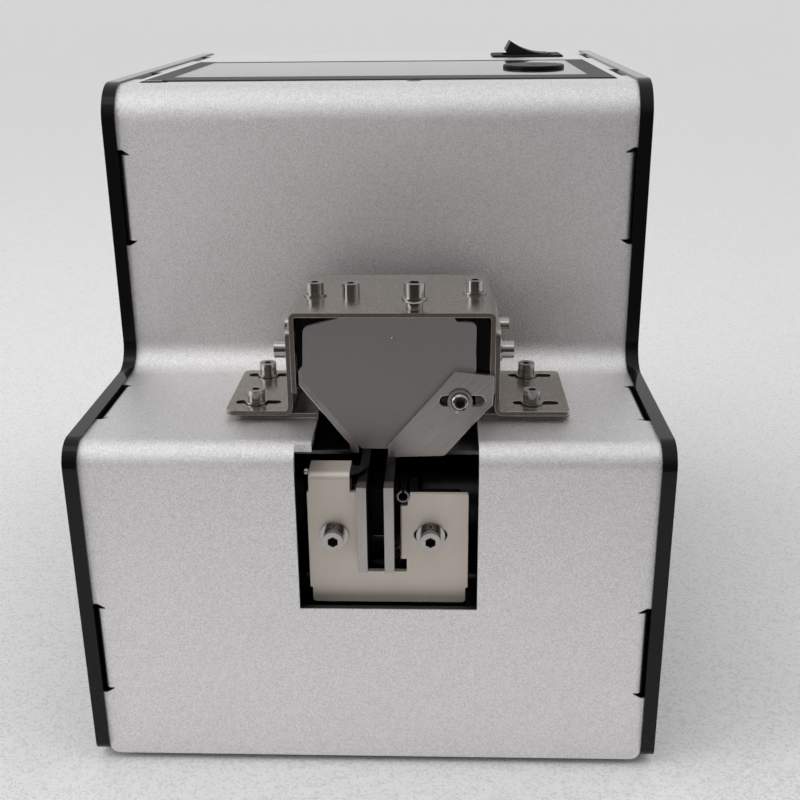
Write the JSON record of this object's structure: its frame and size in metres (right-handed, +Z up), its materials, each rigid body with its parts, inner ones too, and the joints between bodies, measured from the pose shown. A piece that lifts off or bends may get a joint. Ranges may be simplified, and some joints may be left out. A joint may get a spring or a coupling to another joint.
{
  "type": "automatic screw feeder",
  "caption": "Bench-top screw feeder: stepped aluminium housing with black sides, lidded hopper, rocker switch, and guide rails in a front window under an adjustable bracket.",
  "frame": {"origin": "middle of the bounding box, on the surface that the feet stand on", "axes": "+Z up, -Y the front with the rail tips, +X to the right seen from the front"},
  "size_m": [0.123, 0.18, 0.1453],
  "materials": {
    "anodised": "bead-blasted satin anodised",
    "black_steel": "satin black",
    "nickel": "satin nickel plate",
    "bright_steel": "ground",
    "zinc_steel": "zinc plated",
    "screw_steel": "bright",
    "black_screw": "black oxide",
    "rubber": "matte",
    "black_plastic": "fine matte",
    "gloss_black": "gloss",
    "grey_plastic": "matte",
    "clear": "clear acrylic",
    "bronze": "turned",
    "copper": "wound wire, varnished",
    "nylon": "bristles",
    "board": "solder mask",
    "shield_paint": "smooth satin dark grey",
    "spring": "blued spring steel"
  },
  "bodies": {
    "housing": {"cover_shell": "anodised", "side_panel_left": "black_steel", "side_panel_right": "black_steel", "cover_screws": "black_screw", "base_plate": "zinc_steel", "rubber_mounts": "rubber", "chassis_plate_left": "black_steel", "chassis_plate_right": "black_steel", "chassis_screws": "zinc_steel", "front_bar": "black_steel", "front_guide_plate": "nickel", "guide_blocks": "black_steel", "roll_pin": "bright_steel", "retainer_leaf": "spring", "vibrator_base": "black_steel", "magnet_core": "black_steel", "magnet_coil": "copper", "bearing_bushes": "bronze", "gear_motor": "zinc_steel", "hopper_bin": "zinc_steel", "lid_hinges": "black_steel", "switch_body": "black_plastic", "dc_jack": "black_plastic", "control_board": "board", "board_parts": "black_plastic", "board_fixings": "bronze", "rail_sensors": "black_plastic", "sensor_brackets": "zinc_steel", "bracket_under_plate": "nickel", "cap_screws": "screw_steel"},
    "rail_set": {"rail_left": "bright_steel", "rail_right": "bright_steel", "rail_carrier": "black_steel", "rail_screws": "zinc_steel", "leaf_springs": "spring", "armature": "black_steel"},
    "scoop": {"scoop_blades": "bright_steel", "scoop_shaft": "bright_steel", "scoop_lever": "zinc_steel", "link_arm": "zinc_steel"},
    "crank": {"motor_shaft": "bright_steel", "crank_disc": "zinc_steel"},
    "drive_rod": {"connecting_rod": "zinc_steel"},
    "brush": {"brush_shaft": "bright_steel", "brush_holder": "black_plastic", "brush_bristles": "nylon"},
    "link": {"brush_link": "bright_steel"},
    "lid": {"hopper_lid_frame": "grey_plastic", "hopper_lid_pane": "clear", "lid_knob": "gloss_black"},
    "rocker": {"power_rocker": "gloss_black"},
    "bracket": {"angle_bracket_left": "nickel", "angle_bracket_right": "nickel"},
    "bridge_set": {"bridge": "nickel", "bridge_screws": "screw_steel", "hanger_block": "black_steel", "shield_plate": "shield_paint", "guide_wing_left": "nickel"},
    "wing": {"guide_wing_right": "nickel"}
  },
  "joints": [
    {"name": "rail_vibration", "type": "slide", "parent": "housing", "child": "rail_set", "axis": [0, 1, 0], "range_m": [-0.00035, 0.00035], "stiffness_N_per_m": 9000},
    {"name": "crank_spin", "type": "hinge", "parent": "housing", "child": "crank", "pos_m": [0.029, 0.007, 0.022], "axis": [1, 0, 0], "continuous": true},
    {"name": "rod_turn", "type": "hinge", "parent": "crank", "child": "drive_rod", "pos_m": [0.0355, 0.01037, 0.02364], "axis": [1, 0, 0], "continuous": true},
    {"name": "scoop_swing", "type": "hinge", "parent": "housing", "child": "scoop", "pos_m": [0, -0.017, 0.056], "axis": [1, 0, 0], "range_deg": [-13, 5]},
    {"name": "link_turn", "type": "hinge", "parent": "scoop", "child": "link", "pos_m": [0.01057, -0.029, 0.056], "axis": [1, 0, 0], "range_deg": [-6, 14]},
    {"name": "brush_swing", "type": "hinge", "parent": "housing", "child": "brush", "pos_m": [0.00155, -0.008, 0.102], "axis": [0, 1, 0], "range_deg": [-7.7, 18.3]},
    {"name": "lid_hinge", "type": "hinge", "parent": "housing", "child": "lid", "pos_m": [-0.05405, -0.0263, 0.14045], "axis": [0, -1, 0], "range_deg": [0, 95]},
    {"name": "power_switch", "type": "hinge", "parent": "housing", "child": "rocker", "pos_m": [0.0404, 0.061, 0.14095], "axis": [0, -1, 0], "range_deg": [0, 34]},
    {"name": "bracket_centring", "type": "slide", "parent": "housing", "child": "bracket", "axis": [1, 0, 0], "range_m": [-0.0005, 0.0005]},
    {"name": "bridge_height", "type": "slide", "parent": "bracket", "child": "bridge_set", "axis": [0, 0, 1], "range_m": [-0.0003, 0.003]},
    {"name": "wing_slide", "type": "slide", "parent": "bridge_set", "child": "wing", "axis": [1, 0, 0], "range_m": [-0.0032, 0.0002]}
  ],
  "couplings": [
    {"joint": "rod_turn", "follows": "crank_spin", "ratio": -1},
    {"joint": "link_turn", "follows": "scoop_swing", "ratio": -1},
    {"joint": "brush_swing", "follows": "scoop_swing", "ratio": -1.33}
  ]
}
